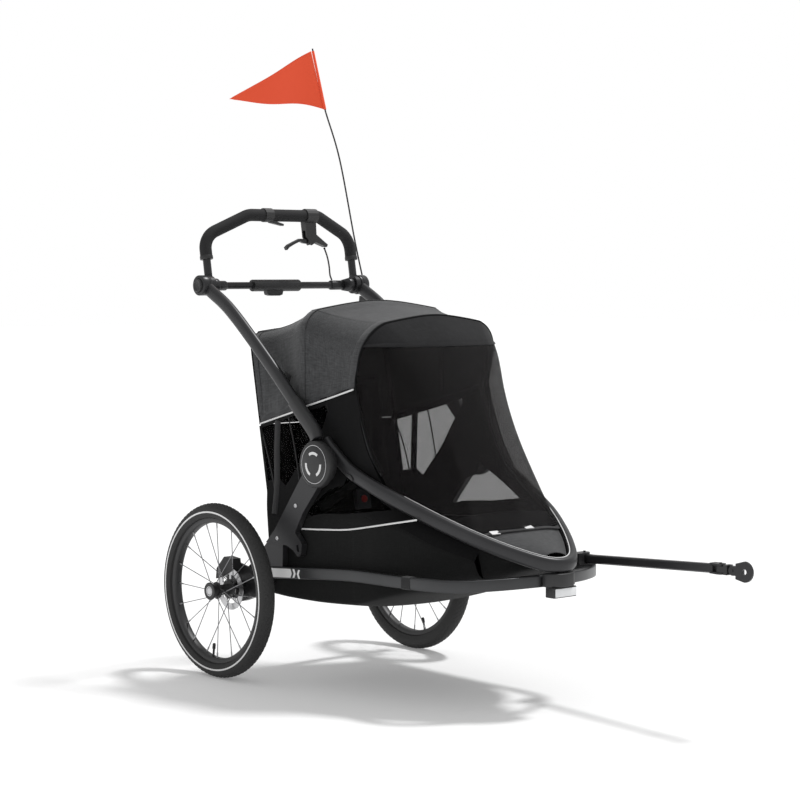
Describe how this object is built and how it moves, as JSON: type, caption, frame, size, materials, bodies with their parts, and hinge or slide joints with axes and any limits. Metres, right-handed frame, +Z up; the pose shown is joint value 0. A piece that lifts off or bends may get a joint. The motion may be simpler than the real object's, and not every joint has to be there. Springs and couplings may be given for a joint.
{
  "type": "child bicycle trailer",
  "caption": "Two-wheeled covered child trailer with a folding push handle, disc brakes, a seat with harness, a safety flag and a side tow arm for a bicycle.",
  "frame": {"origin": "on the ground, under the middle of the overall box", "axes": "+X towards the bicycle, +Y to the trailer's left side, +Z up"},
  "size_m": [1.9102, 0.694, 1.6045],
  "materials": {
    "frame_metal": "satin black powder coat",
    "rail_metal": "satin anodised grey",
    "moulding": "fine grained black moulding",
    "red_button": "satin red",
    "foam": "closed-cell foam",
    "tyre": "moulded rubber with a light sidewall line",
    "tube_rubber": "smooth butyl",
    "rim_metal": "matte black",
    "steel": "brushed",
    "reflector": "clear prismatic face",
    "flag_cloth": "thin orange-red cloth",
    "grey_fabric": "grey melange weave",
    "dark_fabric": "near-black cloth and sheer mesh"
  },
  "bodies": {
    "chassis": {"axle_beam": "frame_metal", "front_frame": "frame_metal", "lower_rail": "rail_metal", "nose_cap": "moulding", "front_reflector": "reflector", "leg_left": "moulding", "leg_right": "moulding", "fold_hub_inner_left": "moulding", "fold_hub_inner_right": "moulding", "wheel_axle_left": "steel", "wheel_axle_right": "steel", "brake_calliper_left": "moulding", "brake_calliper_right": "moulding", "canopy": "grey_fabric", "rear_bow": "frame_metal", "main_bow": "frame_metal", "front_bow": "frame_metal", "cabin_tub": "dark_fabric", "front_screen": "dark_fabric", "nose_panel": "grey_fabric", "seat": "grey_fabric", "harness": "dark_fabric", "buckle": "moulding", "tow_bracket": "frame_metal"},
    "wheel_left": {"tyre_left": "tyre", "inner_tube_left": "tube_rubber", "rim_left": "rim_metal", "hub_left": "rim_metal", "brake_disc_left": "steel"},
    "wheel_right": {"tyre_right": "tyre", "inner_tube_right": "tube_rubber", "rim_right": "rim_metal", "hub_right": "rim_metal", "brake_disc_right": "steel"},
    "axle_button_left": {"axle_button_left": "steel"},
    "axle_button_right": {"axle_button_right": "steel"},
    "brake_arm_left": {"brake_arm_left": "steel"},
    "brake_arm_right": {"brake_arm_right": "steel"},
    "upper_frame": {"fold_hub_outer_left": "moulding", "fold_hub_outer_right": "moulding", "upper_tube_left": "frame_metal", "upper_tube_right": "frame_metal", "crossbar": "frame_metal", "fold_grip": "moulding", "flag_pole": "moulding", "flag_holder": "moulding", "flag": "flag_cloth"},
    "fold_trigger": {"fold_trigger": "moulding"},
    "tilt_button_left": {"tilt_button_left": "moulding"},
    "tilt_button_right": {"tilt_button_right": "moulding"},
    "handlebar": {"handlebar": "frame_metal", "foam_grip": "foam", "brake_clamp": "moulding", "bar_clip": "moulding", "brake_cable": "moulding"},
    "brake_lever": {"brake_lever": "rail_metal"},
    "buckle_button": {"buckle_button": "red_button"},
    "tow_arm": {"tow_arm": "frame_metal"},
    "hitch_knuckle": {"hitch_knuckle": "frame_metal"},
    "hitch_plate": {"hitch_plate": "steel"}
  },
  "joints": [
    {"name": "wheel_left_spin", "type": "hinge", "parent": "chassis", "child": "wheel_left", "pos_m": [-0.345, 0.32, 0.215], "axis": [0, 1, 0], "continuous": true},
    {"name": "wheel_right_spin", "type": "hinge", "parent": "chassis", "child": "wheel_right", "pos_m": [-0.345, -0.32, 0.215], "axis": [0, 1, 0], "continuous": true},
    {"name": "axle_button_left_push", "type": "slide", "parent": "chassis", "child": "axle_button_left", "axis": [0, -1, 0], "range_m": [0, 0.004], "stiffness_N_per_m": 400, "springref_m": -0.001},
    {"name": "axle_button_right_push", "type": "slide", "parent": "chassis", "child": "axle_button_right", "axis": [0, 1, 0], "range_m": [0, 0.004], "stiffness_N_per_m": 400, "springref_m": -0.001},
    {"name": "frame_fold", "type": "hinge", "parent": "chassis", "child": "upper_frame", "pos_m": [-0.031, 0, 0.543], "axis": [0, 1, 0], "range_deg": [0, 110]},
    {"name": "fold_trigger_pull", "type": "slide", "parent": "upper_frame", "child": "fold_trigger", "axis": [0, 0, 1], "range_m": [0, 0.007], "stiffness_N_per_m": 300, "springref_m": -0.003},
    {"name": "tilt_button_left_push", "type": "slide", "parent": "upper_frame", "child": "tilt_button_left", "axis": [0, -1, 0], "range_m": [0, 0.005], "stiffness_N_per_m": 400, "springref_m": -0.001},
    {"name": "tilt_button_right_push", "type": "slide", "parent": "upper_frame", "child": "tilt_button_right", "axis": [0, 1, 0], "range_m": [0, 0.005], "stiffness_N_per_m": 400, "springref_m": -0.001},
    {"name": "handlebar_tilt", "type": "hinge", "parent": "upper_frame", "child": "handlebar", "pos_m": [-0.49, 0, 0.962], "axis": [0, 1, 0], "range_deg": [-40, 60], "deforming": ["brake_cable"]},
    {"name": "brake_lever_pull", "type": "hinge", "parent": "handlebar", "child": "brake_lever", "pos_m": [-0.491, 0.083, 1.074], "axis": [1, 0, 0], "range_deg": [-25, 0], "stiffness_Nm_per_rad": 0.6, "springref_deg": 8.59},
    {"name": "brake_arm_left_turn", "type": "hinge", "parent": "chassis", "child": "brake_arm_left", "pos_m": [-0.353, 0.2515, 0.272], "axis": [0, 1, 0], "range_deg": [-20, 0]},
    {"name": "brake_arm_right_turn", "type": "hinge", "parent": "chassis", "child": "brake_arm_right", "pos_m": [-0.353, -0.2515, 0.272], "axis": [0, 1, 0], "range_deg": [-20, 0]},
    {"name": "buckle_button_press", "type": "slide", "parent": "chassis", "child": "buckle_button", "axis": [-0.9794, 0, -0.2017], "range_m": [0, 0.003], "stiffness_N_per_m": 300, "springref_m": -0.001},
    {"name": "tow_swing", "type": "hinge", "parent": "chassis", "child": "tow_arm", "pos_m": [0.4, 0.2, 0.3242], "axis": [0, 0, 1], "range_deg": [0, 95]},
    {"name": "hitch_yaw", "type": "hinge", "parent": "tow_arm", "child": "hitch_knuckle", "pos_m": [0.855, 0.157, 0.3495], "axis": [0, 0, 1], "range_deg": [-60, 60]},
    {"name": "hitch_pitch", "type": "hinge", "parent": "hitch_knuckle", "child": "hitch_plate", "pos_m": [0.895, 0.157, 0.3495], "axis": [0, 1, 0], "range_deg": [-30, 30]}
  ],
  "couplings": [
    {"joint": "brake_arm_left_turn", "follows": "brake_lever_pull", "ratio": 0.8},
    {"joint": "brake_arm_right_turn", "follows": "brake_lever_pull", "ratio": 0.8}
  ]
}
